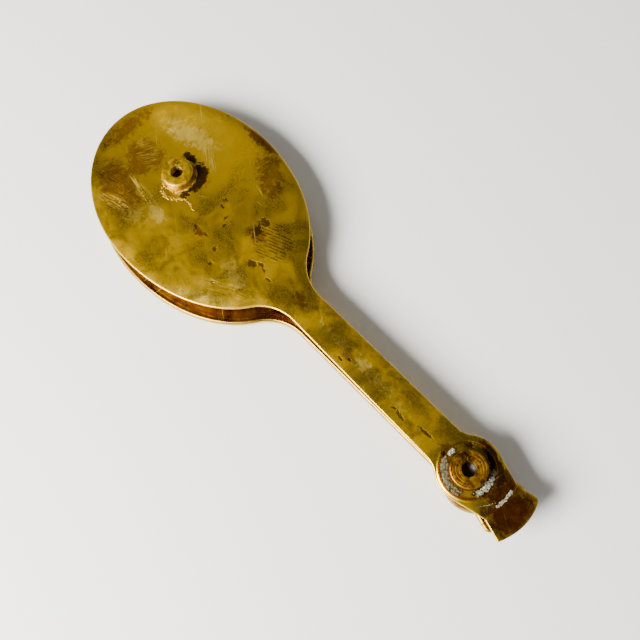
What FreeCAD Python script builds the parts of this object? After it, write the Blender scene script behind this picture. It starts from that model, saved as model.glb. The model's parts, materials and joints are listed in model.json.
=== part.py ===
import FreeCAD, Part
import math
import os

# Two cast brass pulls of one pattern, stacked front to front. Each is an oval plate
# with a neck, a round head and a soldered tail. Two tapped bosses stand on its back.
# The lower pull rests on its bosses, and the upper one lies on it face down.
# Each pull is built back down: its boss ends are at z = 0 and its front is up.
# X runs from the plate boss (x = 0) to the head boss and the tail.

# Oval plate
oval_width = 102.4
oval_centre = 15.1           # plate boss to the widest section, mean of the two hands
oval_skew = 2.0              # the widest section is this much nearer the head at -Y, the nose at +Y
nose_length = 70.0           # widest section to the nose
shoulder_length = 77.0       # widest section to where the oval would close on the neck
plate_thickness = 6.0
crown_rise = 2.4             # height of the crown above the rim and the neck
crown_margin = 2.8           # width of the plain rim round the crown
rim_radius = 2.0             # rounding of the front edge
back_edge = 0.5              # small bevel of the back edge

# Neck and head
boss_spacing = 220.0
neck_width_shoulder = 19.0
neck_width_head = 20.4
shoulder_fillet = 26.0
head_radius = 16.3
head_fillet = 12.0
recess_radius = 13.6         # dished ring round the head boss, which the solder runs into
recess_depth = 0.8

# Bosses: turned bushes with a short spigot sunk in the plate, tapped M8
boss_diameter = 18.0
boss_height = 5.0
boss_chamfer = 0.5
spigot_diameter = 12.0
spigot_depth = 2.2
spigot_clearance = 0.05
tapped_diameter = 6.8
hole_chamfer = 0.7

# Tail, butted to the stub behind the head and soldered. The stub's sides start on the round
# head, root degrees off its axis. Pairs are the two hands of a pull, -Y and +Y.
tail_thickness = 3.2
upper_tail = {"stub": 4.1, "root": 77.0, "waist": (10.5, 11.4), "flare": (13.3, 14.5),
              "side": 11.0, "end": 3.2, "corners": (3.0, 0.8)}
lower_tail = {"stub": 0.3, "root": 48.0, "waist": (13.8, 13.2), "flare": (14.5, 13.6),
              "side": 5.0, "end": 3.4, "corners": (3.5, 4.5)}
tail_clearance = 0.05

# How far each boss stands off the centre line: plate boss, head boss
upper_offsets = (-2.4, 0.6)
lower_offsets = (0.0, 0.0)

# Braze and solder
braze_width = 1.6
braze_height = 1.1
braze_clearance = 0.05
solder_proud = 0.5
solder_clearance = 0.25
upper_solder_arcs = ((70.0, 160.0), (-35.0, 20.0), (176.0, 190.0))
lower_solder_arcs = ((100.0, 215.0), (250.0, 300.0))
seam_solder_length = 11.0
seam_solder_width = 2.0
seam_solder_offset = -3.0
seam_solder_height = 0.6

# Stack
stack_gap = 0.3
upper_shift = (-5.3, 3.6)    # plate end of the upper centre line, from that of the lower
upper_turn = -0.85           # degrees, as the two were laid together

back_z = boss_height
front_z = boss_height + plate_thickness
neck_thickness = plate_thickness - crown_rise


def at(x, y, z=0.0):
    return FreeCAD.Vector(x, y, z)


def prism(points, low, high):
    wire = Part.makePolygon([at(x, y, low) for x, y in points + points[:1]])
    return Part.Face(wire).extrude(at(0, 0, high - low))


def oval_quarter(start, hand):
    # One quarter of the oval plate, from start degrees on, on the -Y (-1) or +Y (1) hand.
    centre = oval_centre - oval_skew * hand
    length = oval_centre + shoulder_length - centre
    if 90 <= start < 270:
        length = nose_length - oval_centre + centre
    ellipse = Part.Ellipse(at(centre, 0, back_z), length, oval_width / 2)
    arc = Part.ArcOfEllipse(ellipse, math.radians(start), math.radians(start + 90)).toShape()
    sides = [Part.makeLine(arc.Vertexes[1].Point, at(centre, 0, back_z)),
             Part.makeLine(at(centre, 0, back_z), arc.Vertexes[0].Point)]
    return Part.Face(Part.Wire([arc] + sides)).extrude(at(0, 0, neck_thickness))


def oval():
    quarters = [oval_quarter(0, 1), oval_quarter(90, 1), oval_quarter(180, -1), oval_quarter(270, -1)]
    return quarters[0].fuse(quarters[1:]).removeSplitter()


def upright_edges(shape, low_x, high_x):
    found = []
    for edge in shape.Edges:
        box = edge.BoundBox
        upright = box.XLength < 0.01 and box.YLength < 0.01 and box.ZLength > 0.5
        if upright and low_x < box.Center.x < high_x:
            found.append(edge)
    return found


def outline_edges(shape, z, seam):
    # The edges at height z, but not the one that lies along the seam.
    found = []
    for edge in shape.Edges:
        box = edge.BoundBox
        level = abs(box.ZMin - z) < 0.01 and abs(box.ZMax - z) < 0.01
        on_seam = abs(box.XMin - seam) < 0.01 and abs(box.XMax - seam) < 0.01
        if level and not on_seam:
            found.append(edge)
    return found


def neck_bar():
    start = neck_width_shoulder / 2
    end = neck_width_head / 2
    return prism([(oval_centre, -start), (boss_spacing, -end), (boss_spacing, end), (oval_centre, start)],
                 back_z, back_z + neck_thickness)


def head_stub(tail):
    # The stub's sides leave the round head and meet the tail at the waist.
    root_x = boss_spacing + head_radius * math.cos(math.radians(tail["root"]))
    root_y = head_radius * math.sin(math.radians(tail["root"]))
    seam = boss_spacing + head_radius + tail["stub"]
    waist = tail["waist"]
    return prism([(boss_spacing, 0), (root_x, -root_y), (seam, -waist[0]), (seam, waist[1]),
                  (root_x, root_y)], back_z, back_z + neck_thickness)


def crown():
    # The low cap of a long egg, which is turned about an axis along X far below the front.
    half_length = (nose_length + shoulder_length) / 2 - crown_margin
    half_width = oval_width / 2 - crown_margin
    egg_radius = (half_width ** 2 + crown_rise ** 2) / (2 * crown_rise)
    middle = oval_centre + (shoulder_length - nose_length) / 2
    centre = at(middle, 0, front_z - egg_radius)
    ellipse = Part.Ellipse(centre, egg_radius * half_length / half_width, egg_radius)
    arc = Part.ArcOfEllipse(ellipse, 0, math.pi).toShape()
    axis = Part.makeLine(arc.Vertexes[1].Point, arc.Vertexes[0].Point)
    egg = Part.Face(Part.Wire([arc, axis])).revolve(centre, at(1, 0, 0), 360)
    return egg.common(Part.makeBox(2 * half_length, 2 * half_width, plate_thickness,
                                   at(middle - half_length, -half_width, back_z + neck_thickness)))


def casting(tail, offsets):
    body = oval().fuse(neck_bar())
    joins = upright_edges(body, oval_centre + shoulder_length / 2, boss_spacing - 1)
    body = body.makeFillet(shoulder_fillet, joins)
    body = body.fuse(Part.makeCylinder(head_radius, neck_thickness, at(boss_spacing, 0, back_z)))
    body = body.removeSplitter()
    joins = upright_edges(body, boss_spacing - head_radius - 1, boss_spacing - 1)
    body = body.makeFillet(head_fillet, joins)
    body = body.fuse(head_stub(tail)).removeSplitter()
    seam = boss_spacing + head_radius + tail["stub"]
    body = body.makeChamfer(back_edge, outline_edges(body, back_z, seam))
    body = body.makeFillet(rim_radius, outline_edges(body, back_z + neck_thickness, seam))
    button = Part.makeCylinder(head_radius - rim_radius, plate_thickness, at(boss_spacing, 0, back_z))
    body = body.fuse([crown(), button])
    socket = spigot_diameter / 2 + spigot_clearance
    for place in boss_places(offsets):
        body = body.cut(Part.makeCylinder(socket, spigot_depth, place + at(0, 0, back_z)))
    middle = boss_places(offsets)[1] + at(0, 0, back_z)
    dish = Part.makeCylinder(recess_radius, recess_depth, middle)
    land = Part.makeCylinder(boss_diameter / 2, recess_depth, middle)
    return body.cut(dish.cut(land))


def boss_places(offsets):
    return at(0, offsets[0]), at(boss_spacing, offsets[1])


def boss(place):
    body = Part.makeCylinder(boss_diameter / 2, boss_height)
    body = body.makeChamfer(boss_chamfer, outline_edges(body, 0, boss_height))
    spigot = Part.makeCylinder(spigot_diameter / 2, spigot_depth, at(0, 0, boss_height))
    body = body.fuse(spigot)
    drill = Part.makeCylinder(tapped_diameter / 2, boss_height + spigot_depth)
    mouth = Part.makeCone(tapped_diameter / 2 + hole_chamfer, tapped_diameter / 2, hole_chamfer)
    body = body.cut(drill).cut(mouth)
    body.translate(place)
    return body


def tail_piece(tail):
    seam = boss_spacing + head_radius + tail["stub"] + tail_clearance
    waist = tail["waist"]
    flare = tail["flare"]
    side = seam + tail["side"]
    end = Part.Arc(at(side, -flare[0], back_z), at(side + tail["end"], 0, back_z), at(side, flare[1], back_z))
    edges = [Part.makeLine(at(seam, waist[1], back_z), at(seam, -waist[0], back_z)),
             Part.makeLine(at(seam, -waist[0], back_z), at(side, -flare[0], back_z)),
             end.toShape(),
             Part.makeLine(at(side, flare[1], back_z), at(seam, waist[1], back_z))]
    body = Part.Face(Part.Wire(edges)).extrude(at(0, 0, tail_thickness))
    for sign, radius in zip((-1, 1), tail["corners"]):
        corner = [edge for edge in upright_edges(body, side - 1, side + 1)
                  if edge.BoundBox.Center.y * sign > 0]
        body = body.makeFillet(radius, corner)
    return body.makeChamfer(back_edge, outline_edges(body, back_z, seam))


def plate_braze(place):
    inner = boss_diameter / 2 + braze_clearance
    section = Part.makePolygon([at(inner, 0, back_z), at(inner + braze_width, 0, back_z),
                                at(inner, 0, back_z - braze_height), at(inner, 0, back_z)])
    ring = Part.Face(section).revolve(at(0, 0), at(0, 0, 1), 360)
    ring.translate(place)
    return ring


def head_solder(arcs, place):
    inner = boss_diameter / 2 + solder_clearance
    outer = recess_radius - solder_clearance
    top = back_z - solder_proud
    runs = []
    for start, end in arcs:
        run = Part.makeCylinder(outer, solder_proud + recess_depth, at(0, 0, top), at(0, 0, 1), end - start)
        run = run.cut(Part.makeCylinder(inner, solder_proud + recess_depth, at(0, 0, top)))
        run.rotate(at(0, 0), at(0, 0, 1), start)
        run.translate(place)
        runs.append(run)
    return Part.makeCompound(runs)


def seam_solder(tail):
    seam = boss_spacing + head_radius + tail["stub"]
    return Part.makeBox(seam_solder_width, seam_solder_length, seam_solder_height,
                        at(seam - seam_solder_width / 2, seam_solder_offset - seam_solder_length / 2,
                           back_z - seam_solder_height))


def pull(name, tail, arcs, offsets):
    plate_place, head_place = boss_places(offsets)
    return {name + "_casting": casting(tail, offsets),
            name + "_plate_boss": boss(plate_place),
            name + "_head_boss": boss(head_place),
            name + "_tail": tail_piece(tail),
            name + "_plate_braze": plate_braze(plate_place),
            name + "_head_solder": head_solder(arcs, head_place),
            name + "_tail_solder": seam_solder(tail)}


pieces = pull("lower", lower_tail, lower_solder_arcs, lower_offsets)
for node, shape in pull("upper", upper_tail, upper_solder_arcs, upper_offsets).items():
    shape.rotate(at(0, 0), at(1, 0, 0), 180)
    shape.rotate(at(0, 0), at(0, 0, 1), upper_turn)
    shape.translate(at(upper_shift[0], upper_shift[1], 2 * front_z + stack_gap))
    pieces[node] = shape

os.makedirs("parts", exist_ok=True)
for node, shape in pieces.items():
    shape.exportStep("parts/" + node + ".step")
    box = shape.BoundBox
    print(node, shape.isValid(), len(shape.Solids), round(shape.Volume), [round(v, 2) for v in (
        box.XMin, box.YMin, box.ZMin, box.XMax, box.YMax, box.ZMax)])
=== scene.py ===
import json
import math

import bmesh
import bpy
import numpy as np
from mathutils import Matrix, Vector, noise


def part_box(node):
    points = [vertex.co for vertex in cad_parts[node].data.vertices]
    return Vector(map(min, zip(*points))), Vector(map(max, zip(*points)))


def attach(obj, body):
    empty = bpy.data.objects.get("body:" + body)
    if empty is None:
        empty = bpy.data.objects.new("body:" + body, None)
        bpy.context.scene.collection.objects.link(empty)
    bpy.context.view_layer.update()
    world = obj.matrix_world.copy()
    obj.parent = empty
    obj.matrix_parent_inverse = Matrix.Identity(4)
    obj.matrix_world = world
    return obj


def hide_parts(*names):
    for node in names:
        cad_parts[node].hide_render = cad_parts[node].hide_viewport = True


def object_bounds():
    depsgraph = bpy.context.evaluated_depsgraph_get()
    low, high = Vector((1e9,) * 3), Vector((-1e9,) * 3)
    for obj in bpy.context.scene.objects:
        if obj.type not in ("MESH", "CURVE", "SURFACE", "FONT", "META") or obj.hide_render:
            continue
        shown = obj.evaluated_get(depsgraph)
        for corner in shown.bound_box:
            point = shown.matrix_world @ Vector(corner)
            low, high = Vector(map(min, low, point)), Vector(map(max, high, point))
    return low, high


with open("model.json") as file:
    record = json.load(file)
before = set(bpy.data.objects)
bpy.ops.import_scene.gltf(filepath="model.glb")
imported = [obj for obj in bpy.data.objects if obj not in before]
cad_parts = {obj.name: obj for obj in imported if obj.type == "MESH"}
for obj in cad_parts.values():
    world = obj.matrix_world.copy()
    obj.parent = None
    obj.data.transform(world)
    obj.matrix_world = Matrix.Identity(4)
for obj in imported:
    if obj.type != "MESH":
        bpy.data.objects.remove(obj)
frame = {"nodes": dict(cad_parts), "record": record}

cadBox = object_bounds()
mm = 0.001

# Where the two pulls are: a pull is built back down, and the upper one is turned over about X.
mountAt = {mount["name"]: Vector(mount["pos_m"]) for mount in frame["record"]["mounts"]}
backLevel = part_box("lower_casting")[0].z
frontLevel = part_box("lower_casting")[1].z
bossSpacing = mountAt["lower_head_hole"].x - mountAt["lower_plate_hole"].x
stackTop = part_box("upper_plate_boss")[1].z
# How far each boss stands off the centre line: plate boss, head boss.
bossOffsets = {"lower": (0.0, 0.0), "upper": (-2.4 * mm, 0.6 * mm)}
upperAxis = mountAt["upper_plate_hole"]
bossLine = mountAt["upper_head_hole"] - upperAxis
bossAngle = math.atan2(bossLine.y, bossLine.x)
upperOffsets = bossOffsets["upper"]
upperTurn = Matrix.Rotation(bossAngle - math.atan2(upperOffsets[0] - upperOffsets[1], bossSpacing), 4, "Z")
overturned = upperTurn @ Matrix.Rotation(math.pi, 4, "X")
upperShift = upperAxis - overturned @ Vector((0, upperOffsets[0], 0))
upperShift.z = stackTop
placeOf = {"lower": Matrix.Identity(4), "upper": Matrix.Translation(upperShift) @ overturned}


def localBox(side, node):
    # A node's corners in its own pull's frame.
    back = placeOf[side].inverted()
    points = np.array([back @ vertex.co for vertex in frame["nodes"][node].data.vertices])
    return Vector(points.min(0)), Vector(points.max(0))


def bossPlaces(side):
    return Vector((0, bossOffsets[side][0], 0)), Vector((bossSpacing, bossOffsets[side][1], 0))


camera = {"place": (0.2066, -0.0365, 0.353), "right": (0.694, 0.7109, -0.1142),
          "up": (-0.6672, 0.6946, 0.2692), "angle": 50.0}


def makeCamera():
    right = Vector(camera["right"]).normalized()
    up = Vector(camera["up"]).normalized()
    back = right.cross(up).normalized()
    up = back.cross(right)
    data = bpy.data.cameras.new("camera")
    data.angle = math.radians(camera["angle"])
    data.clip_start = 0.01
    made = bpy.data.objects.new("camera", data)
    bpy.context.scene.collection.objects.link(made)
    turn = Matrix((right, up, back)).transposed().to_4x4()
    made.matrix_world = Matrix.Translation(camera["place"]) @ turn
    bpy.context.scene.camera = made


def addNode(tree, kind, inputs=None, **settings):
    made = tree.nodes.new(kind)
    for key, value in settings.items():
        setattr(made, key, value)
    for key, value in (inputs or {}).items():
        if isinstance(value, bpy.types.NodeSocket):
            tree.links.new(value, made.inputs[key])
        else:
            made.inputs[key].default_value = value
    return made


studio = {"keyPlace": (-0.12, -0.9, 0.75), "keySize": (0.68, 0.68), "keyPower": 73.0,
          "keyTint": (1.0, 0.985, 0.95), "sidePlace": (-0.6, 0.2, 0.75), "sideSize": (0.16, 0.22),
          "sidePower": 0.35, "sideTint": (1.0, 0.97, 0.92), "horizon": (1.0, 0.99, 0.96, 1),
          "zenith": (0.095, 0.095, 0.095, 1), "worldStrength": 0.95, "skyLow": 0.15, "skyHigh": 0.75}


def areaLight(name, place, size, power, tint, aim):
    data = bpy.data.lights.new(name, "AREA")
    data.energy = power
    data.color = tint
    data.shape = "RECTANGLE"
    data.size = size[0]
    data.size_y = size[1]
    made = bpy.data.objects.new(name, data)
    bpy.context.scene.collection.objects.link(made)
    made.location = place
    made.rotation_mode = "QUATERNION"
    made.rotation_quaternion = (aim - Vector(place)).to_track_quat("-Z", "Y")


def makeStudio():
    middle = (cadBox[0] + cadBox[1]) / 2
    for name, aim in (("key", middle), ("side", Vector((0, 0, 0)))):
        areaLight(name, studio[name + "Place"], studio[name + "Size"], studio[name + "Power"],
                  studio[name + "Tint"], aim)
    world = bpy.data.worlds.new("room")
    bpy.context.scene.world = world
    world.use_nodes = True
    tree = world.node_tree
    tree.nodes.clear()
    coord = addNode(tree, "ShaderNodeTexCoord")
    parts = addNode(tree, "ShaderNodeSeparateXYZ", {0: coord.outputs["Generated"]})
    rise = addNode(tree, "ShaderNodeMapRange", {0: parts.outputs["Z"], 1: studio["skyLow"],
                                                2: studio["skyHigh"]}, clamp=True)
    tint = addNode(tree, "ShaderNodeMix", {0: rise.outputs[0], 6: studio["horizon"], 7: studio["zenith"]},
                   data_type="RGBA")
    shine = addNode(tree, "ShaderNodeBackground", {0: tint.outputs[2], 1: studio["worldStrength"]})
    addNode(tree, "ShaderNodeOutputWorld", {0: shine.outputs[0]})


tableTop = {"size": 4.0, "middle": (0.1, 0, 0), "tone": (0.86, 0.86, 0.82, 1), "roughness": 0.55}


def makeTable():
    bpy.ops.mesh.primitive_plane_add(size=tableTop["size"], location=tableTop["middle"])
    table = bpy.context.object
    table.name = "table"
    paint = bpy.data.materials.new("tableTop")
    paint.use_nodes = True
    shader = paint.node_tree.nodes["Principled BSDF"]
    shader.inputs["Base Color"].default_value = tableTop["tone"]
    shader.inputs["Roughness"].default_value = tableTop["roughness"]
    table.data.materials.append(paint)


makeCamera()
makeStudio()
makeTable()
print("studio ready")


def objectCoord(tree):
    return addNode(tree, "ShaderNodeTexCoord").outputs["Object"]


def stretched(tree, coord, scale=(1, 1, 1), turn=0.0, place=(0, 0, 0)):
    turned = (0, 0, math.radians(turn))
    made = addNode(tree, "ShaderNodeMapping", {"Vector": coord, "Location": place, "Scale": scale,
                                               "Rotation": turned}, vector_type="TEXTURE")
    return made.outputs[0]


def cloud(tree, coord, scale, detail=4.0, rough=0.55, twist=0.0):
    made = addNode(tree, "ShaderNodeTexNoise", {"Vector": coord, "Scale": scale, "Detail": detail,
                                                "Roughness": rough, "Distortion": twist})
    return made.outputs["Fac"]


def between(tree, value, low, high, toLow=0.0, toHigh=1.0):
    made = addNode(tree, "ShaderNodeMapRange", {0: value, 1: low, 2: high, 3: toLow, 4: toHigh},
                   interpolation_type="SMOOTHSTEP")
    return made.outputs[0]


def combine(tree, how, first, second):
    return addNode(tree, "ShaderNodeMath", {0: first, 1: second}, operation=how).outputs[0]


def tinted(tree, amount, first, second):
    return addNode(tree, "ShaderNodeMix", {0: amount, 6: first, 7: second}, data_type="RGBA").outputs[2]


def spot(tree, coord, place, size, turn=0.0, soft=0.5):
    # An oval in plan: its height is so great that z has no say.
    tall = 1e5
    near = stretched(tree, coord, (size[0], size[1], tall), turn, (place[0], place[1], 0))
    reach = addNode(tree, "ShaderNodeVectorMath", {0: near}, operation="LENGTH").outputs["Value"]
    return between(tree, reach, 1.0, 1.0 - soft)


def spots(tree, coord, places):
    total = None
    for place in places:
        one = spot(tree, coord, *place)
        total = one if total is None else combine(tree, "MAXIMUM", total, one)
    return total


# Marks on the back of the upper pull: place, half size, turn, softness. They are in millimetres from the
# plate boss, along the line to the head boss.
upperMarks = {
    # Rubbed and highlight: the first, broad oval on the oval body and the narrow one at the head dish's lip
    # are painted highlights; the others are rubbed places.
    "rubbedAndHighlight": [((-15, 21), (27, 10), 18, 0.8), ((66, -16), (16, 7), -10, 0.8),
               ((64, -36), (30, 4), 30, 0.9), ((8, -24), (14, 6), 8, 0.9), ((150, -1), (45, 5), 0, 0.9),
               ((221, -13.5), (8, 2.4), 5, 0.7), ((-4, -34), (20, 8), 14, 0.9)],
    "brown": [((-20, -29), (26, 15), -20, 0.6), ((-24, -6), (20, 14), 10, 0.8),
              ((-22, -14), (14, 9), 40, 0.8), ((36, 36), (22, 11), -30, 0.8), ((58, 8), (9, 8), 30, 0.8),
              ((141, -2), (7, 5), 0, 0.8), ((101, 0), (8, 6), 0, 0.9), ((206, -1), (6, 5), 0, 0.8),
              ((246, 1), (17, 19), 0, 0.55), ((222, 13), (12, 6), -20, 0.7), ((4, 6), (15, 12), 0, 0.6),
              ((-46, -2), (9, 26), 0, 0.9)],
    "red": [((18, 47), (20, 4.5), 4, 0.8), ((219, 14.5), (7, 3.4), -12, 0.6),
            ((247, 0), (13, 15), 0, 0.7), ((233, 3), (9, 10), 0, 0.6), ((236, 9), (7, 8), 0, 0.5),
            ((34, -14), (5, 3.5), 0, 0.8)],
    "scorch": [((55.9, 15.1), (5.6, 4.2), 25, 0.7), ((57, 9), (4.5, 6), 30, 0.9),
               ((68.6, -5.1), (4.2, 2.8), 20, 0.6), ((72, -2.2), (3.2, 1.3), 10, 0.7),
               ((76, -3.2), (3.4, 1.1), -14, 0.7), ((82, -4.9), (3.4, 1.1), 4, 0.7),
               ((47.6, -14), (2.2, 1.8), 0, 0.7), ((51.9, -21), (2.0, 1.6), 0, 0.7),
               ((61, -27), (2.0, 1.4), 0, 0.7), ((30, 8.6), (2.2, 0.9), 30, 0.6),
               ((31.6, 5.2), (2.0, 0.9), -20, 0.6), ((38.5, 1.6), (1.5, 3.2), 12, 0.7),
               ((41, -1.2), (1.4, 2.0), 0, 0.7), ((29.5, -13), (2.4, 1.8), -30, 0.7),
               ((33.5, -15.6), (3.0, 1.1), -22, 0.7), ((38, -12), (1.5, 1.7), 0, 0.7),
               ((250, 10.5), (1.8, 1.4), 0, 0.7), ((245, 9.5), (1.4, 3.0), 0, 0.8),
               ((139, -6.5), (3.4, 1.2), 0, 0.8), ((142.5, -3.8), (1.7, 1.2), 0, 0.7),
               ((180, -5.1), (5.0, 1.5), -12, 0.7), ((174.8, -4.6), (2.6, 1.1), 20, 0.7),
               ((194.5, -2), (8, 1.1), 4, 0.8), ((206.5, -3), (1.8, 1.6), 0, 0.7)],
    # Flux and shadow: the four ovals round the plate boss are a painted shadow that the boss casts away from
    # the key light; the others, round the head dish, are burnt flux.
    "fluxAndShadow": [((7.5, 10), (9, 6.0), -35, 0.7), ((12, 3.5), (4.4, 7.5), 0, 0.7),
             ((-4, 11.5), (8, 3.2), 10, 0.7), ((11, -5), (3.6, 4), 0, 0.8),
             ((223, 13.2), (7.5, 3.2), -22, 0.5), ((228.6, 10.4), (5.4, 4.6), -45, 0.5),
             ((233.4, 7), (3.6, 5.4), -20, 0.5), ((212, 9), (4, 2.4), 40, 0.8),
             ((229.5, -1), (1.6, 9), 0, 0.7)],
}
lowerMarks = {
    "rubbedAndHighlight": [((30, -20), (34, 16), -20, 0.9), ((140, 0), (50, 6), 0, 0.9),
               ((-30, 16), (16, 10), 40, 0.9)],
    "brown": [((10, 30), (30, 12), 10, 0.8), ((60, -14), (16, 9), 30, 0.8), ((240, 0), (12, 18), 0, 0.4)],
    "red": [((240, -3), (9, 12), 0, 0.6), ((222, -13), (8, 3), 10, 0.7), ((-36, -18), (12, 7), -50, 0.8)],
    "scorch": [((44, 18), (6, 4), -30, 0.8), ((72, 12), (5, 3), 20, 0.7), ((-20, -30), (4, 2), 10, 0.7),
               ((120, 3), (5, 1.2), 10, 0.7), ((176, -4), (4, 1.1), -15, 0.7),
               ((238, -5), (3, 3), 0, 0.8)],
    "fluxAndShadow": [((-8, -8), (7, 5), 45, 0.6), ((-2, -12), (7, 2.6), 0, 0.6), ((10, 6), (3, 7), 30, 0.7),
             ((214, 12), (7, 2.6), 25, 0.5), ((230, 8), (3.4, 5), 30, 0.6)],
}
# How each kind shows: tone, raggedness, where it starts and is full, strength.
markTones = {"rubbedAndHighlight": ("pale", 1.5, 0.15, 1.10, 0.50), "brown": ("brown", 1.1, 0.10, 0.95, 0.80),
             "red": ("red", 0.8, 0.15, 0.80, 0.80), "scorch": ("dark", 1.1, 0.22, 0.60, 0.92),
             "fluxAndShadow": ("dark", 1.1, 0.22, 0.58, 0.96)}

# Brushed and scratched patches: place, half size, turn, direction of the strokes, tone, strength.
upperStrokes = [((-20, -30), (20, 10), -20, 16, "dark", 0.75),
                ((-8, -20.5), (18, 3.4), -4, -6, "pale", 0.95),
                ((4, 19), (12, 5), -20, -32, "pale", 0.65),
                ((42.5, 25.2), (9.6, 0.45), -10, -10, "pale", 1.0),
                ((45.7, 20.6), (3.0, 0.4), 0, 0, "pale", 0.9), ((-14, -36), (16, 5), 16, 16, "pale", 0.5),
                ((70, -24), (24, 8), 30, 28, "pale", 0.45), ((-24, -4), (13, 8), 0, 55, "pale", 0.35)]

# Two tones after pale paint the shade and reflection on the lower pull's covered front; the second of them
# is also the head boss's own brown.
brassLook = {"gold": (0.6, 0.36, 0.004, 1), "olive": (0.45, 0.27, 0.003, 1),
             "brown": (0.19, 0.075, 0.002, 1), "dark": (0.02, 0.008, 0.003, 1),
             "red": (0.155, 0.026, 0.002, 1), "pale": (0.95, 0.68, 0.12, 1),
             "underShade": (0.06, 0.016, 0.002, 1), "bossAndShadeBrown": (0.15, 0.055, 0.002, 1), "gloss": 0.25,
             "dull": 0.42, "tan": (0.3, 0.15, 0.006, 1), "rim": 0.2, "bump": 0.00016}


def paintMarks(mesh, side):
    # How strongly each kind of mark shows at each point, from 0 to 1.
    count = len(mesh.vertices)
    places = np.empty(count * 3)
    mesh.vertices.foreach_get("co", places)
    places = places.reshape(-1, 3)
    axis, angle, marks = Vector((0, 0, 0)), 0.0, lowerMarks
    if side == "upper":
        axis, angle, marks = upperAxis, bossAngle, upperMarks
    aside = (places[:, :2] - np.array(axis[:2])) / mm
    along = aside[:, 0] * math.cos(angle) + aside[:, 1] * math.sin(angle)
    across = aside[:, 1] * math.cos(angle) - aside[:, 0] * math.sin(angle)
    for kind, spotList in marks.items():
        total = np.zeros(count)
        for place, size, turn, soft in spotList:
            cos = math.cos(math.radians(turn))
            sin = math.sin(math.radians(turn))
            u = ((along - place[0]) * cos + (across - place[1]) * sin) / size[0]
            v = ((across - place[1]) * cos - (along - place[0]) * sin) / size[1]
            share = np.clip((1 - np.hypot(u, v)) / soft, 0, 1)
            total = np.maximum(total, share * share * (3 - 2 * share))
        made = mesh.attributes.new(kind, "FLOAT", "POINT")
        made.data.foreach_set("value", total.astype(np.float32))


def markFrame(tree, coord):
    # Millimetres from the upper plate boss, along the line to the head boss.
    return stretched(tree, coord, (mm, mm, mm), math.degrees(bossAngle), (upperAxis.x, upperAxis.y, 0))


# Scales of the clouds in cast brass, from broad shades to fine grain.
grain = {"broad": 18.0, "patchy": 62.0, "mottled": 240.0, "ragged": 380.0, "fine": 1300.0}


def castBrass(name, look, strokes=None, underShadeFrom=None):
    paint = bpy.data.materials.new(name)
    paint.use_nodes = True
    tree = paint.node_tree
    shader = tree.nodes["Principled BSDF"]
    coord = objectCoord(tree)
    broad = cloud(tree, coord, grain["broad"], 2.0, 0.5)
    patchy = cloud(tree, coord, grain["patchy"], 5.0, 0.62, 0.6)
    mottled = cloud(tree, coord, grain["mottled"], 6.0, 0.7, 0.4)
    fine = cloud(tree, coord, grain["fine"], 4.0, 0.7)
    colour = tinted(tree, between(tree, broad, 0.36, 0.64), look["olive"], look["gold"])
    colour = tinted(tree, between(tree, patchy, 0.50, 0.82, 0, 0.34), colour, look["brown"])
    colour = tinted(tree, between(tree, mottled, 0.48, 0.80, 0, 0.30), colour, look["olive"])
    colour = tinted(tree, between(tree, fine, 0.50, 0.78, 0, 0.35), colour, look["brown"])
    rough = between(tree, patchy, 0.30, 0.72, look["gloss"], look["dull"])
    height = combine(tree, "MULTIPLY", mottled, 0.5)
    # Painted shade on the part of the front that the other pull covers.
    if underShadeFrom:
        colour = paintedUnderShade(tree, coord, underShadeFrom, look, colour, patchy)
    ragged = between(tree, cloud(tree, coord, grain["ragged"], 5.0, 0.78, 0.6), 0.32, 0.68, -0.5, 0.5)
    # Marks by kind. The rubbed kind holds painted highlights as well as rubbed places, and the flux kind
    # holds the plate boss's painted shadow as well as burnt flux.
    for kind, (tone, torn, start, full, strength) in markTones.items():
        where = addNode(tree, "ShaderNodeAttribute", attribute_name=kind).outputs["Fac"]
        near = combine(tree, "MULTIPLY", between(tree, where, 0, 0.3), torn)
        edge = combine(tree, "MULTIPLY", ragged, near)
        amount = between(tree, combine(tree, "ADD", where, edge), start, full, 0, strength)
        colour = tinted(tree, amount, colour, look[tone])
        if tone == "dark":
            rough = combine(tree, "ADD", rough, combine(tree, "MULTIPLY", amount, 0.25))
            height = combine(tree, "SUBTRACT", height, combine(tree, "MULTIPLY", amount, 0.5))
    if strokes:
        mapped = markFrame(tree, coord)
        for stroke in strokes:
            colour, height = brushed(tree, mapped, stroke, look, colour, height)
        colour, rough = fileMarks(tree, mapped, look, colour, rough)
    colour, height = pits(tree, coord, look, colour, height)
    colour, height = scratches(tree, coord, look, colour, height)
    worn = addNode(tree, "ShaderNodeAttribute", attribute_name="rimWear").outputs["Fac"]
    broken = between(tree, mottled, 0.25, 0.60, 0.4, 1.0)
    worn = combine(tree, "MULTIPLY", between(tree, worn, 0.20, 0.55), broken)
    colour = tinted(tree, combine(tree, "MULTIPLY", worn, look["rim"]), colour, look["pale"])
    tree.links.new(colour, shader.inputs["Base Color"])
    shader.inputs["Metallic"].default_value = 1.0
    rough = combine(tree, "ADD", rough, between(tree, fine, 0.3, 0.7, -0.03, 0.05))
    tree.links.new(rough, shader.inputs["Roughness"])
    bump = addNode(tree, "ShaderNodeBump", {"Height": height, "Strength": 0.5, "Distance": look["bump"]})
    tree.links.new(bump.outputs[0], shader.inputs["Normal"])
    return paint


def paintedUnderShade(tree, coord, level, look, colour, patchy):
    # Painted shade: the front, which the other pull covers, is painted darker and redder, standing in for
    # the upper pull's shadow and its reddish reflection.
    z = addNode(tree, "ShaderNodeSeparateXYZ", {0: coord}).outputs["Z"]
    fade = 0.8 * mm
    covered = between(tree, z, level, level + fade)
    underShade = tinted(tree, between(tree, patchy, 0.34, 0.66), look["underShade"], look["bossAndShadeBrown"])
    return tinted(tree, covered, colour, underShade)


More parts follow.
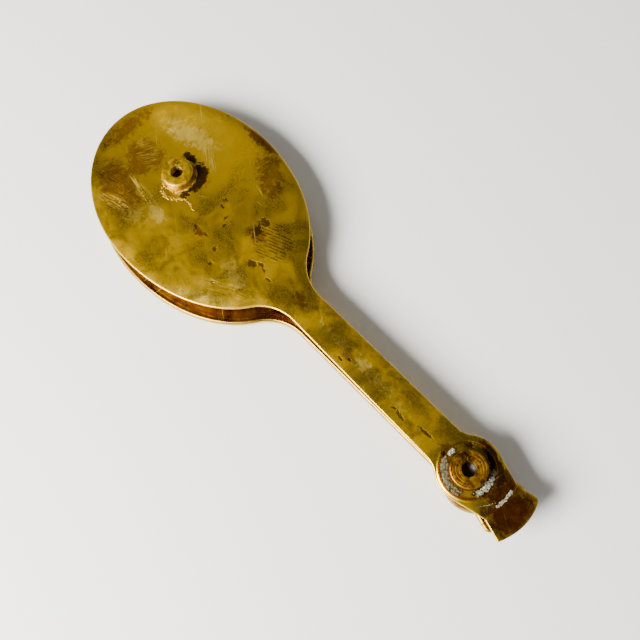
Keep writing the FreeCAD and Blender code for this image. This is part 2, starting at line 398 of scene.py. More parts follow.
def brushed(tree, mapped, stroke, look, colour, height):
    place, size, turn, direction, tone, strength = stroke
    patch = spot(tree, mapped, place, size, turn, 0.6)
    lines = cloud(tree, stretched(tree, mapped, (9, 0.38, 1), direction), 1.0, 2.0, 0.6)
    amount = combine(tree, "MULTIPLY", patch, between(tree, lines, 0.50, 0.62))
    amount = combine(tree, "MULTIPLY", amount, strength)
    colour = tinted(tree, amount, colour, look[tone])
    height = combine(tree, "SUBTRACT", height, combine(tree, "MULTIPLY", amount, 0.4))
    return colour, height


# The filed patch, in the frame of the marks: turn in degrees, strokes per length, how dark.
filedPatch = {"place": (68, 11), "size": (13.5, 13), "turn": 21, "spacing": 0.19, "dirt": 0.93}


def fileMarks(tree, mapped, look, colour, rough):
    # Parallel file strokes near the shoulder, filled with dirt.
    turn = filedPatch["turn"]
    patch = spot(tree, mapped, filedPatch["place"], filedPatch["size"], 0, 0.25)
    lengthwise = stretched(tree, mapped, (1, 1, 1), turn)
    strokes = addNode(tree, "ShaderNodeTexWave", {"Vector": lengthwise, "Scale": filedPatch["spacing"],
                                                  "Distortion": 0.9, "Detail": 2.0, "Detail Scale": 0.4},
                      wave_type="BANDS", bands_direction="Y")
    line = between(tree, strokes.outputs["Fac"], 0.62, 0.86)
    broken = between(tree, cloud(tree, stretched(tree, mapped, (3.2, 1.2, 1), turn), 0.8, 2.0), 0.42, 0.50)
    amount = combine(tree, "MULTIPLY", combine(tree, "MULTIPLY", patch, line), broken)
    colour = tinted(tree, combine(tree, "MULTIPLY", amount, filedPatch["dirt"]), colour, look["dark"])
    return colour, combine(tree, "ADD", rough, combine(tree, "MULTIPLY", amount, 0.2))


# Pits per metre, where their patches start and end in the cloud, which cells hold one, how dark.
pitting = {"scale": 300.0, "patches": 48.0, "patchEdge": (0.57, 0.74), "chosen": (0.62, 0.72),
           "round": (0.20, 0.10), "dirt": 0.5}


def pits(tree, coord, look, colour, height):
    cells = addNode(tree, "ShaderNodeTexVoronoi", {"Vector": coord, "Scale": pitting["scale"],
                                                   "Randomness": 1.0})
    here = between(tree, cloud(tree, coord, pitting["patches"], 3.0), *pitting["patchEdge"])
    chosen = addNode(tree, "ShaderNodeSeparateXYZ", {0: cells.outputs["Color"]}).outputs["X"]
    pit = combine(tree, "MULTIPLY", between(tree, cells.outputs["Distance"], *pitting["round"]), here)
    pit = combine(tree, "MULTIPLY", pit, between(tree, chosen, *pitting["chosen"]))
    colour = tinted(tree, combine(tree, "MULTIPLY", pit, pitting["dirt"]), colour, look["dark"])
    return colour, combine(tree, "SUBTRACT", height, pit)


# Sets of fine scratches: turn in degrees, scale, strength.
scratchSets = ((28, 230.0, 0.34), (-35, 280.0, 0.30), (80, 320.0, 0.24), (4, 260.0, 0.28))


def scratches(tree, coord, look, colour, height):
    for turn, scale, amount in scratchSets:
        along = stretched(tree, coord, (16, 0.40, 1), turn, (0.01 * turn, 0, 0))
        thin = between(tree, cloud(tree, along, scale, 2.0, 0.5), 0.67, 0.72)
        aside = stretched(tree, coord, (1, 1, 1), 0, (0.3 + turn, 0, 0))
        gate = between(tree, cloud(tree, aside, 45.0, 2.0), 0.50, 0.60)
        cut = combine(tree, "MULTIPLY", combine(tree, "MULTIPLY", thin, gate), amount)
        colour = tinted(tree, cut, colour, look["pale"])
        height = combine(tree, "SUBTRACT", height, combine(tree, "MULTIPLY", cut, 0.5))
    return colour, height


# Turned brass: rings per millimetre, the crust beside the hole, and where the painted shade in the tapped
# hole begins and is full, in millimetres.
turning = {"rings": 2.6, "patchy": 330.0, "specks": 620.0, "crust": ((-4.5, 3.0), (4.2, 3.2), -35, 0.6),
           "holeShadeEdge": (3.75, 3.45), "bump": 0.00012}


def turnedBrass(name, look, centre, tones, dirt):
    # Rings left by the lathe run round the boss's own axis.
    paint = bpy.data.materials.new(name)
    paint.use_nodes = True
    tree = paint.node_tree
    shader = tree.nodes["Principled BSDF"]
    coord = objectCoord(tree)
    local = stretched(tree, coord, (mm, mm, mm), math.degrees(bossAngle), (centre.x, centre.y, 0))
    flat = addNode(tree, "ShaderNodeVectorMath", {0: local, 1: (1, 1, 0)}, operation="MULTIPLY").outputs[0]
    reach = addNode(tree, "ShaderNodeVectorMath", {0: flat}, operation="LENGTH").outputs["Value"]
    rings = addNode(tree, "ShaderNodeTexNoise", {"W": reach, "Scale": turning["rings"], "Detail": 3.0},
                    noise_dimensions="1D")
    patchy = cloud(tree, coord, turning["patchy"], 5.0, 0.7, 0.4)
    specks = between(tree, cloud(tree, coord, turning["specks"], 4.0, 0.7), 0.57, 0.64)
    colour = tinted(tree, between(tree, patchy, 0.36, 0.66), look[tones[0]], look[tones[1]])
    colour = tinted(tree, between(tree, rings.outputs["Fac"], 0.50, 0.66, 0, 0.55), colour, look["brown"])
    colour = tinted(tree, combine(tree, "MULTIPLY", specks, dirt), colour, look["dark"])
    crust = combine(tree, "MULTIPLY", spot(tree, local, *turning["crust"]),
                    between(tree, cloud(tree, coord, 700.0, 3.0, 0.7), 0.42, 0.54))
    colour = tinted(tree, combine(tree, "MULTIPLY", crust, dirt), colour, look["dark"])
    # Painted shade: the tapped hole is painted dark and less metallic, as a shaded recess.
    hole = between(tree, reach, *turning["holeShadeEdge"])
    colour = tinted(tree, combine(tree, "MULTIPLY", hole, 0.9), colour, look["dark"])
    tree.links.new(colour, shader.inputs["Base Color"])
    tree.links.new(between(tree, hole, 0, 1, 1.0, 0.25), shader.inputs["Metallic"])
    tree.links.new(between(tree, patchy, 0.3, 0.7, 0.32, 0.55), shader.inputs["Roughness"])
    height = combine(tree, "ADD", rings.outputs["Fac"], combine(tree, "MULTIPLY", patchy, 0.5))
    bump = addNode(tree, "ShaderNodeBump", {"Height": height, "Strength": 0.5, "Distance": turning["bump"]})
    tree.links.new(bump.outputs[0], shader.inputs["Normal"])
    return paint


def depositPaint(name, look):
    paint = bpy.data.materials.new(name)
    paint.use_nodes = True
    tree = paint.node_tree
    shader = tree.nodes["Principled BSDF"]
    coord = objectCoord(tree)
    lumpy = cloud(tree, coord, 480.0, 5.0, 0.7, 0.5)
    crust = cloud(tree, coord, 1300.0, 4.0, 0.7)
    gaps = between(tree, cloud(tree, coord, 640.0, 3.0, 0.7), 0.52, 0.60, 0, 0.9)
    colour = tinted(tree, between(tree, lumpy, 0.36, 0.60), look["dirt"], look["body"])
    colour = tinted(tree, between(tree, crust, 0.56, 0.70), colour, look["light"])
    if look["cleanSpots"]:
        clean = spots(tree, markFrame(tree, coord), look["cleanSpots"])
        clean = combine(tree, "MULTIPLY", clean, between(tree, crust, 0.60, 0.45))
        colour = tinted(tree, clean, colour, look["clean"])
    colour = tinted(tree, gaps, colour, look["gap"])
    tree.links.new(colour, shader.inputs["Base Color"])
    shader.inputs["Metallic"].default_value = look["metal"]
    tree.links.new(between(tree, crust, 0.3, 0.7, 0.34, 0.68), shader.inputs["Roughness"])
    bump = addNode(tree, "ShaderNodeBump", {"Height": combine(tree, "ADD", lumpy, crust), "Strength": 0.7,
                                            "Distance": look["bump"]})
    tree.links.new(bump.outputs[0], shader.inputs["Normal"])
    return paint


# Tones of a deposit, and the ovals where it is clean, in the frame of the marks.
solderLook = {"dirt": (0.055, 0.036, 0.007, 1), "body": (0.125, 0.105, 0.045, 1),
              "light": (0.21, 0.19, 0.11, 1),
              "clean": (0.33, 0.32, 0.24, 1), "gap": (0.016, 0.011, 0.003, 1), "metal": 0.30, "bump": 0.0003,
              "cleanSpots": [((209.2, 0.8), (3, 3), 0, 0.3), ((231, 1), (4, 8), -10, 0.5),
                             ((240.6, 2.6), (2.5, 6), 0, 0.3), ((237, -5), (4, 6), 0, 0.3)]}
brazeLook = {"dirt": (0.22, 0.11, 0.006, 1), "body": (0.50, 0.33, 0.03, 1), "light": (0.85, 0.66, 0.28, 1),
             "gap": (0.05, 0.03, 0.01, 1), "metal": 0.95, "bump": 0.0003, "cleanSpots": []}

# The front of the lower pull, which the upper one covers, carries painted shade from this height up.
underShadeLevel = backLevel + 2.2 * mm
upperBrass = castBrass("agedBrassUpper", brassLook, upperStrokes)
lowerBrass = castBrass("agedBrassLower", dict(brassLook, rim=0.32), None, underShadeLevel)
solderGrey = depositPaint("softSolder", solderLook)
brazeGold = depositPaint("braze", brazeLook)
print("finishes ready")


# Sizes of a casting. The dish is round the head boss, and its lip is thrown up on one side. Steps are the
# mesh's stations along the nose, shoulder, fillet, neck and head, and across the back and the front.
castingShape = {"ovalCentre": 15.1 * mm, "ovalSkew": 2.0 * mm, "shoulderLength": 77 * mm,
                "neckStart": 9.5 * mm, "neckEnd": 10.2 * mm, "shoulderFillet": 26 * mm,
                "headRadius": 16.3 * mm, "headFillet": 12 * mm, "rimRadius": 1.6 * mm, "backEdge": 0.5 * mm,
                "crownRise": 2.4 * mm, "crownMargin": 2.8 * mm, "buttonEdge": 3 * mm,
                "dishRadius": 13.6 * mm, "dishDepth": 0.8 * mm, "dishWall": 0.9 * mm, "lip": 0.4 * mm,
                "lipWidth": 0.5 * mm, "lipFade": 8 * mm, "softEdge": 0.55 * mm, "softWidth": 9 * mm,
                "softEnd": 112 * mm, "softFade": 20 * mm, "neckShare": 0.12, "groove": 0.22 * mm,
                "grooveIn": 2.3 * mm, "grooveWidth": 0.3 * mm, "waves": 0.16 * mm, "waveScale": 34,
                "waveMargin": 6 * mm, "ripples": 0.035 * mm, "rippleScale": 150,
                "steps": (90, 60, 34, 62, 84), "across": (141, 61)}
# Pairs are the two hands of a pull, -Y and +Y.
tailShape = {"upper": {"root": 77, "waist": (10.5 * mm, 11.4 * mm), "flare": (13.3 * mm, 14.5 * mm),
                       "bulge": 3.2 * mm, "corners": (4.2 * mm, 0.9 * mm)},
             "lower": {"root": 48, "waist": (13.8 * mm, 13.2 * mm), "flare": (14.5 * mm, 13.6 * mm),
                       "bulge": 3.4 * mm, "corners": (4.8 * mm, 6.0 * mm)}}
tailFace = {"thickness": 3.2 * mm, "backEdge": 0.45 * mm, "rootEdge": 0.3 * mm, "frontEdge": 1.2 * mm,
            "waves": 0.10 * mm, "steps": (16, 34), "across": (61, 41)}


def outlineOf(side):
    # Half widths of one casting: oval, shoulder fillet, neck, head fillet, head and stub, in that order.
    shape = castingShape
    low, high = localBox(side, side + "_casting")
    nose = low.x
    seam = high.x
    half = (high.y - low.y) / 2
    tip = shape["ovalCentre"] + shape["shoulderLength"]
    fillet = shape["shoulderFillet"]
    filletY = shape["neckStart"] + fillet
    filletReach = (40 * mm, 60 * mm)
    tries = 400
    centres = (shape["ovalCentre"] + shape["ovalSkew"], shape["ovalCentre"] - shape["ovalSkew"])

    def ellipse(x, hand):
        centre = centres[hand]
        length = tip - centre if x > centre else centre - nose
        return half * math.sqrt(max(0.0, 1 - ((x - centre) / length) ** 2))

    def gapTo(filletX, hand):
        steps = [tip - filletReach[0] * k / tries for k in range(tries + 1)]
        return min((math.hypot(filletX - x, filletY - ellipse(x, hand)), x) for x in steps)

    def filletOf(hand):
        # Halves the stretch in which the fillet's centre lies until it just touches the oval.
        inner = tip - filletReach[0]
        outer = tip + filletReach[1]
        for _ in range(40):
            middle = (inner + outer) / 2
            if gapTo(middle, hand)[0] < fillet:
                inner = middle
            else:
                outer = middle
        return gapTo(outer, hand)[1], outer

    fillets = [filletOf(hand) for hand in (0, 1)]
    headTurn = shape["headFillet"]
    turnY = shape["neckEnd"] + headTurn
    turnX = bossSpacing - math.sqrt((shape["headRadius"] + headTurn) ** 2 - turnY ** 2)
    meet = turnX + (bossSpacing - turnX) * headTurn / (shape["headRadius"] + headTurn)
    root = math.radians(tailShape[side]["root"])
    leaveX = bossSpacing + shape["headRadius"] * math.cos(root)
    leaveY = shape["headRadius"] * math.sin(root)

    def halfWidth(x, hand=0):
        touch, outer = fillets[hand]
        if x < touch:
            return ellipse(x, hand)
        if x < outer:
            return filletY - math.sqrt(fillet ** 2 - (outer - x) ** 2)
        if x < turnX:
            share = (x - outer) / (turnX - outer)
            return shape["neckStart"] + share * (shape["neckEnd"] - shape["neckStart"])
        if x < meet:
            return turnY - math.sqrt(headTurn ** 2 - (x - turnX) ** 2)
        if x < leaveX:
            return math.sqrt(shape["headRadius"] ** 2 - (x - bossSpacing) ** 2)
        waist = tailShape[side]["waist"][hand]
        return leaveY + (waist - leaveY) * (x - leaveX) / (seam - leaveX)

    touch, outer = ((fillets[0][k] + fillets[1][k]) / 2 for k in (0, 1))
    bends = (nose, shape["ovalCentre"], touch, outer, turnX, seam)
    return halfWidth, bends


def spaced(low, high, count):
    return [low + (high - low) * k / count for k in range(count)]


def acrossSteps(count, bunch):
    # Bunched towards the edges, where the rims are round.
    even = np.linspace(-1, 1, count)
    return bunch * np.sin(even * math.pi / 2) + (1 - bunch) * even


def quarterDrop(distance, radius):
    # How far a rounded edge has fallen, at a distance in from the wall.
    left = np.clip(radius - distance, 0, radius)
    return radius - np.sqrt(np.maximum(radius ** 2 - left ** 2, 0))


skin = {"bunch": 0.75, "wallSteps": 5, "wear": 1.1 * mm, "weld": 0.002 * mm}


def closedStrip(name, xs, right, left, endGap, backAt, frontAt, counts):
    # One closed skin: back face, right wall, front face, left wall, and a cap at each end.
    xs = np.array(xs)
    right = np.array(right)
    left = np.array(left)
    endGap = np.array(endGap)
    slopes = {"right": np.gradient(right, xs), "left": np.gradient(left, xs)}

    def face(steps, heightAt):
        t = steps[None, :]
        wide = np.where(t > 0, right[:, None], left[:, None])
        slope = np.where(t > 0, slopes["right"][:, None], slopes["left"][:, None])
        y = t * wide
        inward = wide * (1 - np.abs(t)) / np.sqrt(1 + slope ** 2)
        inward = np.minimum(inward, endGap[:, None])
        x = np.repeat(xs[:, None], len(steps), 1)
        return np.stack([x, y, heightAt(x, y, inward)], 2), inward

    back, backIn = face(acrossSteps(counts[0], skin["bunch"]), backAt)
    front, frontIn = face(acrossSteps(counts[1], skin["bunch"])[::-1], frontAt)
    walls = []
    for edge, other in ((back[:, -1], front[:, 0]), (front[:, -1], back[:, 0])):
        shares = np.linspace(0, 1, skin["wallSteps"])[1:-1]
        walls.append(np.stack([edge + (other - edge) * share for share in shares], 1))
    ring = np.concatenate([back, walls[0], front, walls[1]], 1)
    zero = np.zeros((len(xs), 3))
    inward = np.concatenate([backIn, zero, frontIn, zero], 1)
    rows, cols = ring.shape[:2]
    number = np.arange(rows * cols).reshape(rows, cols)
    after = np.roll(number, -1, 1)
    quads = np.stack([number[:-1], after[:-1], after[1:], number[1:]], 2).reshape(-1, 4)
    faces = [tuple(q) for q in quads.tolist()]
    faces += [tuple(number[0].tolist()), tuple(number[-1][::-1].tolist())]
    mesh = bpy.data.meshes.new(name)
    mesh.from_pydata(ring.reshape(-1, 3).tolist(), [], faces)
    worn = mesh.attributes.new("rimWear", "FLOAT", "POINT")
    worn.data.foreach_set("value", np.exp(-inward.ravel() / skin["wear"]).astype(np.float32))
    return tidied(mesh)


def tidied(mesh):
    # Welds doubled points and turns the faces outward.
    work = bmesh.new()
    work.from_mesh(mesh)
    bmesh.ops.remove_doubles(work, verts=work.verts, dist=skin["weld"])
    bmesh.ops.recalc_face_normals(work, faces=work.faces)
    work.to_mesh(mesh)
    work.free()
    mesh.shade_smooth()
    return mesh


def unevenness(x, y, scale, offset):
    flat = [noise.noise(Vector((a * scale, b * scale, offset))) for a, b in zip(x.ravel(), y.ravel())]
    return np.array(flat).reshape(x.shape)


def addPiece(name, mesh, side, paint, node, slotName, marked=False):
    # Lays a mesh made in its pull's frame in place, ties it to its body, and hides the CAD node it stands
    # for.
    mesh.transform(placeOf[side])
    if marked:
        paintMarks(mesh, side)
    made = bpy.data.objects.new(name, mesh)
    bpy.context.scene.collection.objects.link(made)
    mesh.materials.clear()
    mesh.materials.append(paint)
    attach(made, side + "_pull")
    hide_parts(node)


# Dents, in millimetres on the pull: place, half size, depth. Positive sinks into the back.
dents = [((33, -6), 2.4, 0.25), ((63, 27), 1.8, 0.25), ((54, 21), 1.4, 0.2), ((41, -1), 1.2, 0.2),
         ((32, -2), 0.9, 0.18), ((50, 14), 0.9, 0.2), ((56, -11), 6.0, 0.12), ((76, 4), 6.0, 0.08),
         ((146, 4), 1.6, 0.18), ((184, 6), 2.0, 0.15)]


def castingMesh(side, seed):
    shape = castingShape
    halfWidth, bends = outlineOf(side)
    nose, centre, touch, outer, turnX, seam = bends
    noseSteps, shoulderSteps, filletSteps, neckSteps, headSteps = shape["steps"]
    blunt = 0.03
    xs = [nose + (centre - nose) * (1 - math.cos(blunt + (math.pi / 2 - blunt) * k / noseSteps))
          for k in range(noseSteps)]
    xs += spaced(centre, touch, shoulderSteps) + spaced(touch, outer, filletSteps)
    xs += spaced(outer, turnX, neckSteps) + spaced(turnX, seam, headSteps) + [seam]
    left, right = ([halfWidth(x, hand) for x in xs] for hand in (0, 1))
    rimLevel = frontLevel - shape["crownRise"]
    crownLong = (shape["shoulderLength"] + centre - nose) / 2 - shape["crownMargin"]
    crownWide = halfWidth(centre) - shape["crownMargin"]
    crownMiddle = centre + (shape["shoulderLength"] - centre + nose) / 2

    def backAt(x, y, inward):
        level = backLevel + quarterDrop(inward, shape["backEdge"])
        wave = unevenness(x, y, shape["waveScale"], seed) + 0.1
        level = level + shape["waves"] * wave * np.clip(inward / shape["waveMargin"], 0, 1)
        level = level + shape["ripples"] * unevenness(x, y, shape["rippleScale"], seed + 5)
        plateShare = np.clip((shape["softEnd"] - x) / shape["softFade"], shape["neckShare"], 1)
        level = level + shape["softEdge"] * np.clip(1 - inward / shape["softWidth"], 0, 1) ** 2 * plateShare
        middle = bossPlaces(side)[1]
        reach = np.hypot(x - middle.x, y - middle.y)
        level = level + shape["dishDepth"] * np.clip((shape["dishRadius"] - reach) / shape["dishWall"], 0, 1)
        lip = np.exp(-((reach - shape["dishRadius"] - shape["lipWidth"]) / shape["lipWidth"]) ** 2)
        level = level - shape["lip"] * lip * np.clip(y / shape["lipFade"] + 0.2, 0, 1)
        for place, size, depth in dents:
            near = np.hypot(x - place[0] * mm, y - place[1] * mm - upperOffsets[0]) / (size * mm)
            level = level + depth * mm * np.exp(-near ** 2 * 2)
        return level

    def frontAt(x, y, inward):
        level = rimLevel - quarterDrop(inward, shape["rimRadius"])
        level = level - shape["groove"] * np.exp(-((inward - shape["grooveIn"]) / shape["grooveWidth"]) ** 2)
        out = ((x - crownMiddle) / crownLong) ** 2 + (y / crownWide) ** 2
        level = level + shape["crownRise"] * np.clip(1 - out, 0, 1)
        reach = np.hypot(x - bossSpacing, y)
        button = np.clip((shape["headRadius"] - reach) / shape["buttonEdge"], 0, 1)
        return level + shape["crownRise"] * button * button * (3 - 2 * button)

    gap = [x - nose for x in xs]
    return closedStrip(side + "Casting", xs, right, left, gap, backAt, frontAt, shape["across"])


def softLess(first, second, blend):
    # The lesser of two widths, with the corner between them rounded.
    near = max(blend - abs(first - second), 0) / blend
    return min(first, second) - near * near * blend / 4


def tailMesh(side, seed):
    shape = tailShape[side]
    low, high = localBox(side, side + "_tail")
    seam = low.x
    end = high.x
    shoulder = end - shape["bulge"]
    sideSteps, endSteps = tailFace["steps"]
    start = shoulder - 2 * mm
    xs = spaced(seam, start, sideSteps)
    xs += [end - (end - start) * (1 - math.sin(math.pi / 2 * k / endSteps)) for k in range(endSteps)]
    xs += [end - 0.004 * mm]

    def halfWidth(x, hand):
        waist = shape["waist"][hand]
        flare = shape["flare"][hand]
        straight = waist + (flare - waist) * (x - seam) / (shoulder - seam)
        bowed = flare * math.sqrt(max(0.0, (end - x) / shape["bulge"]))
        least = 0.02 * mm
        return max(softLess(straight, bowed, shape["corners"][hand]), least)

    left, right = ([halfWidth(x, hand) for x in xs] for hand in (0, 1))
    frontFace = backLevel + tailFace["thickness"]

    def backAt(x, y, inward):
        level = backLevel + quarterDrop(inward, tailFace["backEdge"])
        level = level + quarterDrop(x - seam, tailFace["rootEdge"])
        return level + tailFace["waves"] * (unevenness(x, y, 90, seed) + 0.2)

    def frontAt(x, y, inward):
        return frontFace - quarterDrop(inward, tailFace["frontEdge"])

    gap = [end - x for x in xs]
    return closedStrip(side + "Tail", xs, right, left, gap, backAt, frontAt, tailFace["across"])


for side, paint in (("lower", lowerBrass), ("upper", upperBrass)):
    seed = 3.0 if side == "lower" else 11.0
    addPiece(side + "Casting", castingMesh(side, seed), side, paint, side + "_casting", "cast_brass", True)
    addPiece(side + "Tail", tailMesh(side, seed + 1), side, paint, side + "_tail", "tarnished_brass", True)
print("castings and tails made")


# A boss and its tapped hole. The edge is the rounding at the end face. Rings are grooves in the end face:
# radius and depth, in millimetres.
bossShape = {"radius": 9 * mm, "foot": 9.6 * mm, "edge": {"plate": 1.7 * mm, "head": 0.8 * mm},
             "hole": 3.4 * mm, "mouth": 3.55 * mm, "thread": 0.6 * mm, "threadStart": 0.7 * mm,
             "pitch": 1.25 * mm, "depth": 7.0 * mm, "around": 120, "faceSteps": 46, "threadSteps": 64}
bossRings = {"plate": ((5.2, 0.05),), "head": ((5.0, 0.04), (6.4, 0.06), (7.9, 0.05))}


def bossMesh(name, kind):
    # A turned profile from the foot over the end face, then down the tapped hole to the drill point.
    shape = bossShape
    profile = [(shape["foot"], backLevel + 0.3 * mm), (shape["foot"] - 0.2 * mm, backLevel - 0.3 * mm),
               (shape["radius"] + 0.05 * mm, backLevel - 1.1 * mm), (shape["radius"], backLevel * 0.5)]
    edge = shape["edge"][kind]
    for k in range(7):
        angle = math.pi / 2 * k / 6
        profile.append((shape["radius"] - edge * (1 - math.cos(angle)), edge * 0.7 * (1 - math.sin(angle))))
    top = shape["radius"] - edge - 0.1 * mm
    grooveWidth = 0.22
    for k in range(shape["faceSteps"] + 1):
        reach = top + (shape["mouth"] - top) * k / shape["faceSteps"]
        sink = 0
        for place, depth in bossRings[kind]:
            sink += depth * mm * math.exp(-((reach / mm - place) / grooveWidth) ** 2)
        profile.append((reach, sink))
    profile.append((shape["hole"] + 0.1 * mm, 0.35 * mm))
    rows = [("plain", r, z) for r, z in profile]
    start = shape["threadStart"]
    for k in range(shape["threadSteps"] + 1):
        rows.append(("thread", shape["hole"], start + (shape["depth"] - start) * k / shape["threadSteps"]))
    rows.append(("plain", shape["hole"] * 0.98, shape["depth"] + 0.05 * mm))
    rows.append(("plain", 0.2 * mm, shape["depth"] + 0.15 * mm))
    points = []
    around = shape["around"]
    for kindOfRow, reach, z in rows:
        for k in range(around):
            angle = 2 * math.pi * k / around
            r = reach
            if kindOfRow == "thread":
                phase = (z / shape["pitch"] - k / around) % 1.0
                r = reach + shape["thread"] * (1 - abs(2 * phase - 1))
            points.append((r * math.cos(angle), r * math.sin(angle), z))
    faces = []
    for row in range(len(rows) - 1):
        for k in range(around):
            a = row * around + k
            b = row * around + (k + 1) % around
            faces.append((a, b, b + around, a + around))
    faces.append(tuple(range(around)))
    faces.append(tuple(range((len(rows) - 1) * around, len(rows) * around))[::-1])
    mesh = bpy.data.meshes.new(name)
    mesh.from_pydata(points, [], faces)
    return tidied(mesh)


# Two tones of each boss, and how dirty it is.
bossTones = {"Plate": (("olive", "gold"), 0.8), "Head": (("bossAndShadeBrown", "tan"), 0.95)}
for side in ("lower", "upper"):
    for kind, place in zip(("Plate", "Head"), bossPlaces(side)):
        node = side + "_" + kind.lower() + "_boss"
        centre = placeOf[side] @ place
        mesh = bossMesh(side + kind + "Boss", kind.lower())
        mesh.transform(Matrix.Translation(place))
        tones, dirt = bossTones[kind]
        paint = turnedBrass(side + kind + "BossBrass", brassLook, centre, tones, dirt)
        addPiece(side + kind + "Boss", mesh, side, paint, node, "turned_brass")
print("bosses turned")


def newTree(name, sockets):
    tree = bpy.data.node_groups.new(name, "GeometryNodeTree")
    tree.interface.new_socket("Geometry", in_out="INPUT", socket_type="NodeSocketGeometry")
    for label, kind, value in sockets:
        made = tree.interface.new_socket(label, in_out="INPUT", socket_type="NodeSocket" + kind)
        if value is not None:
            made.default_value = value
    tree.interface.new_socket("Geometry", in_out="OUTPUT", socket_type="NodeSocketGeometry")
    return tree, tree.nodes.new("NodeGroupInput"), tree.nodes.new("NodeGroupOutput")


def crumbTree():
    # Flattened lumps scattered along a path.
    tree, given, result = newTree("crumbsOnPath", [
        ("Count", "Int", 60), ("Spread", "Float", 1.5 * mm), ("Size", "Float", 0.6 * mm),
        ("Flatten", "Float", 0.5), ("Seed", "Int", 1), ("Material", "Material", None)])
    wants = given.outputs
    line = addNode(tree, "GeometryNodeMeshToCurve", {0: wants["Geometry"]})
    dots = addNode(tree, "GeometryNodeCurveToPoints", {"Curve": line.outputs[0], "Count": wants["Count"]},
                   mode="COUNT")
    less = addNode(tree, "ShaderNodeMath", {0: wants["Spread"], 1: -1.0}, operation="MULTIPLY")
    flatLow = addNode(tree, "ShaderNodeCombineXYZ", {0: less.outputs[0], 1: less.outputs[0]})
    flatHigh = addNode(tree, "ShaderNodeCombineXYZ", {0: wants["Spread"], 1: wants["Spread"]})
    jitter = addNode(tree, "FunctionNodeRandomValue", {"Min": flatLow.outputs[0], "Max": flatHigh.outputs[0],
                                                       "Seed": wants["Seed"]}, data_type="FLOAT_VECTOR")
    moved = addNode(tree, "GeometryNodeSetPosition", {"Geometry": dots.outputs["Points"],
                                                      "Offset": jitter.outputs[0]})
    lump = addNode(tree, "GeometryNodeMeshIcoSphere", {"Radius": wants["Size"], "Subdivisions": 2})
    sizes = addNode(tree, "FunctionNodeRandomValue", {2: 0.45, 3: 1.3, "Seed": wants["Seed"]},
                    data_type="FLOAT")
    scale = addNode(tree, "ShaderNodeCombineXYZ", {0: 1.0, 1: 1.0, 2: wants["Flatten"]})
    grown = addNode(tree, "ShaderNodeVectorMath", {0: scale.outputs[0], "Scale": sizes.outputs[1]},
                    operation="SCALE")
    placed = addNode(tree, "GeometryNodeInstanceOnPoints", {"Points": moved.outputs[0],
                                                            "Instance": lump.outputs[0],
                                                            "Scale": grown.outputs[0]})
    real = addNode(tree, "GeometryNodeRealizeInstances", {0: placed.outputs[0]})
    done = addNode(tree, "GeometryNodeSetMaterial", {"Geometry": real.outputs[0],
                                                     "Material": wants["Material"]})
    tree.links.new(done.outputs[0], result.inputs[0])
    return tree


def runTree(tree, points, values):
    # Puts the tree on a plain path and returns the finished plain mesh.
    path = bpy.data.meshes.new("path")
    path.from_pydata(points, [(k, k + 1) for k in range(len(points) - 1)], [])
    holder = bpy.data.objects.new("path", path)
    bpy.context.scene.collection.objects.link(holder)
    modifier = holder.modifiers.new("tree", "NODES")
    modifier.node_group = tree
    for item in tree.interface.items_tree:
        if item.in_out == "INPUT" and item.name in values:
            modifier[item.identifier] = values[item.name]
    seen = holder.evaluated_get(bpy.context.evaluated_depsgraph_get())
    mesh = bpy.data.meshes.new_from_object(seen)
    bpy.data.objects.remove(holder)
    return mesh


def melted(mesh, cell, passes):
    # Fuses the lumps into one run.
    holder = bpy.data.objects.new("lumps", mesh)
    bpy.context.scene.collection.objects.link(holder)
    modifier = holder.modifiers.new("remesh", "REMESH")
    modifier.mode = "VOXEL"
    modifier.voxel_size = cell
    smooth = holder.modifiers.new("smooth", "SMOOTH")
    smooth.factor = 0.5
    smooth.iterations = passes
    seen = holder.evaluated_get(bpy.context.evaluated_depsgraph_get())
    result = bpy.data.meshes.new_from_object(seen)
    bpy.data.objects.remove(holder)
    result.shade_smooth()
    return result


def arcPath(centre, radius, start, end, height, count=24):
    points = []
    for k in range(count + 1):
        angle = math.radians(start + (end - start) * k / count)
        points.append((centre.x + radius * math.cos(angle), centre.y + radius * math.sin(angle), height))
    return points


# Each run is a path and a kind of crumb: how many, spread, size and flatness, sizes in millimetres. Arcs of
# solder are radius, start, end in degrees round the head boss, and height over the back.
crumbs = {"poolUpper": (330, 1.5, 0.60, 0.50), "chips": (150, 1.3, 0.58, 0.60),
          "neckBlob": (40, 0.6, 0.70, 0.8), "poolLower": (380, 1.5, 0.60, 0.50),
          "lowerChips": (220, 1.2, 0.50, 0.70), "bar": (150, 0.55, 0.50, 0.7),
          "thread": (40, 0.12, 0.24, 0.6), "foot": (220, 0.35, 0.62, 0.8),
          "ridge": (110, 0.55, 0.55, 0.5), "swell": (60, 0.9, 0.60, 0.6)}
headArcs = {"upper": ((11.4, 70, 160, 0.55, "poolUpper"), (11.4, -42, 26, 0.4, "chips"),
                      (11.2, 176, 190, 0.1, "neckBlob")),
            "lower": ((11.4, 102, 213, 0.55, "poolLower"), (11.4, 252, 298, 0.5, "lowerChips"))}
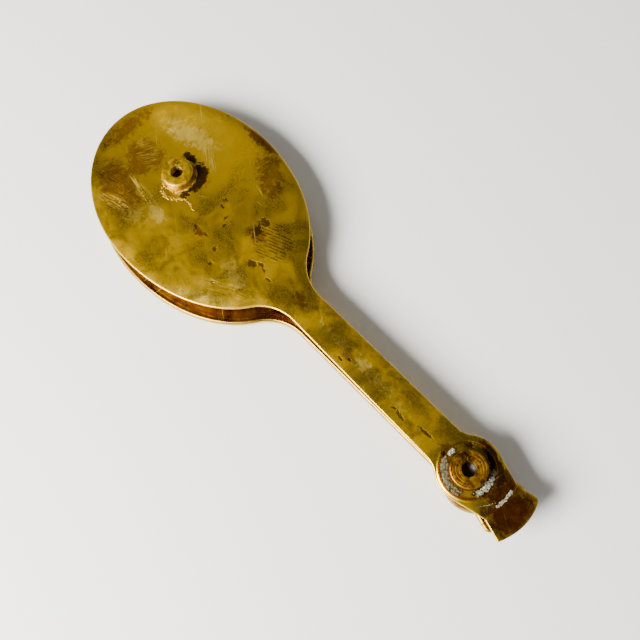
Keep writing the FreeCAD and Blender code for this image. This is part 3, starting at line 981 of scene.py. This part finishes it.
# The bar and the thread on the tail, in millimetres from the seam, and the ridge from the plate boss.
barPoints = ((0, -6.6), (0.6, -1.8), (0.2, 3.0))
threadPoints = ((-1.4, 2.4), (-3.0, 5.4), (-4.8, 8.0), (-6.2, 10.2))
ridgePoints = ((-2, -11), (0, -12.8), (4, -13.4), (8, -11.8), (11.5, -9), (14, -6.8), (18, -6.9), (22, -8.4))
footRing = {"radius": 9.7 * mm, "height": 0.1 * mm, "steps": 48}
melting = {"cell": 0.22 * mm, "passes": 3}


def runsOf(side):
    # The runs of each deposit on one pull, in the pull's own frame.
    plate, head = bossPlaces(side)
    seam = localBox(side, side + "_tail")[0].x
    solder = []
    for radius, start, end, height, crumb in headArcs[side]:
        solder.append((arcPath(head, radius * mm, start, end, backLevel + height * mm), crumb))
    bar = [(seam + x * mm, y * mm, backLevel) for x, y in barPoints]
    thread = [(seam + x * mm, y * mm, backLevel) for x, y in threadPoints]
    ringHeight = backLevel + footRing["height"]
    braze = [(arcPath(plate, footRing["radius"], 0, 360, ringHeight, footRing["steps"]), "foot")]
    if side == "upper":
        ridge = [(x * mm, plate.y - y * mm, ringHeight) for x, y in ridgePoints]
        braze += [(ridge, "ridge"), (ridge[1:5], "swell")]
    return {"head_solder": solder, "plate_braze": braze, "tail_solder": [(bar, "bar"), (thread, "thread")]}


def makeDeposits():
    tree = crumbTree()
    number = 0
    for side in ("lower", "upper"):
        for node, runs in sorted(runsOf(side).items()):
            where, what = node.split("_")
            paint = brazeGold if what == "braze" else solderGrey
            joined = bmesh.new()
            for part, (path, crumb) in enumerate(runs):
                count, spread, size, flatness = crumbs[crumb]
                seed = 7 * number + part
                mesh = runTree(tree, path, {"Count": count, "Spread": spread * mm, "Size": size * mm,
                                            "Flatten": flatness, "Seed": seed, "Material": paint})
                joined.from_mesh(mesh)
            name = side + where.capitalize() + what.capitalize()
            whole = bpy.data.meshes.new(side + "_" + node)
            joined.to_mesh(whole)
            joined.free()
            whole = melted(whole, melting["cell"], melting["passes"])
            addPiece(name, whole, side, paint, side + "_" + node, what)
            number += 1


makeDeposits()
print("braze and solder run")
